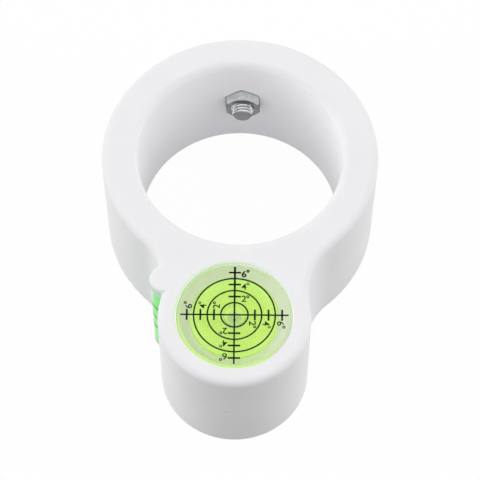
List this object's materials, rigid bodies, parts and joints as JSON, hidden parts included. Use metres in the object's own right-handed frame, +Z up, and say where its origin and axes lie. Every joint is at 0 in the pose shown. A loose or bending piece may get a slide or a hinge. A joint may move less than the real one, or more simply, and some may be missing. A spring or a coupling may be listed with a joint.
{
  "type": "drill level attachment",
  "caption": "White collar that clamps on a drill's neck, with a bullseye vial on its boss, an upright tubular vial at the side and a clamp screw in a captive nut.",
  "frame": {"origin": "on the axis of the tool bore, in the plane of the base", "axes": "+Z up the bore towards the face with the bullseye vial; +Y from the boss through the bore to the clamp screw; +X completes the frame, so the tubular vial is on the -X side"},
  "size_m": [0.0792, 0.1213, 0.037],
  "materials": {
    "white_plastic": "fine satin",
    "clear_acrylic": "polished clear",
    "plate_white": "smooth",
    "lime_liquid": "clear dyed liquid",
    "green_liquid": "clear dyed liquid",
    "zinc_steel": "bright zinc plate"
  },
  "bodies": {
    "collar": {"collar_body": "white_plastic", "bullseye_housing": "clear_acrylic", "bullseye_back_plate": "plate_white", "bullseye_fluid": "lime_liquid", "tube_vial_barrel": "clear_acrylic", "tube_vial_plug": "clear_acrylic", "tube_vial_fluid": "green_liquid", "clamp_nut": "zinc_steel"},
    "screw": {"clamp_screw": "zinc_steel"}
  },
  "joints": [
    {"name": "clamp_screw_travel", "type": "slide", "parent": "collar", "child": "screw", "axis": [0, -1, 0], "range_m": [-0.0026, 0.0041]}
  ]
}
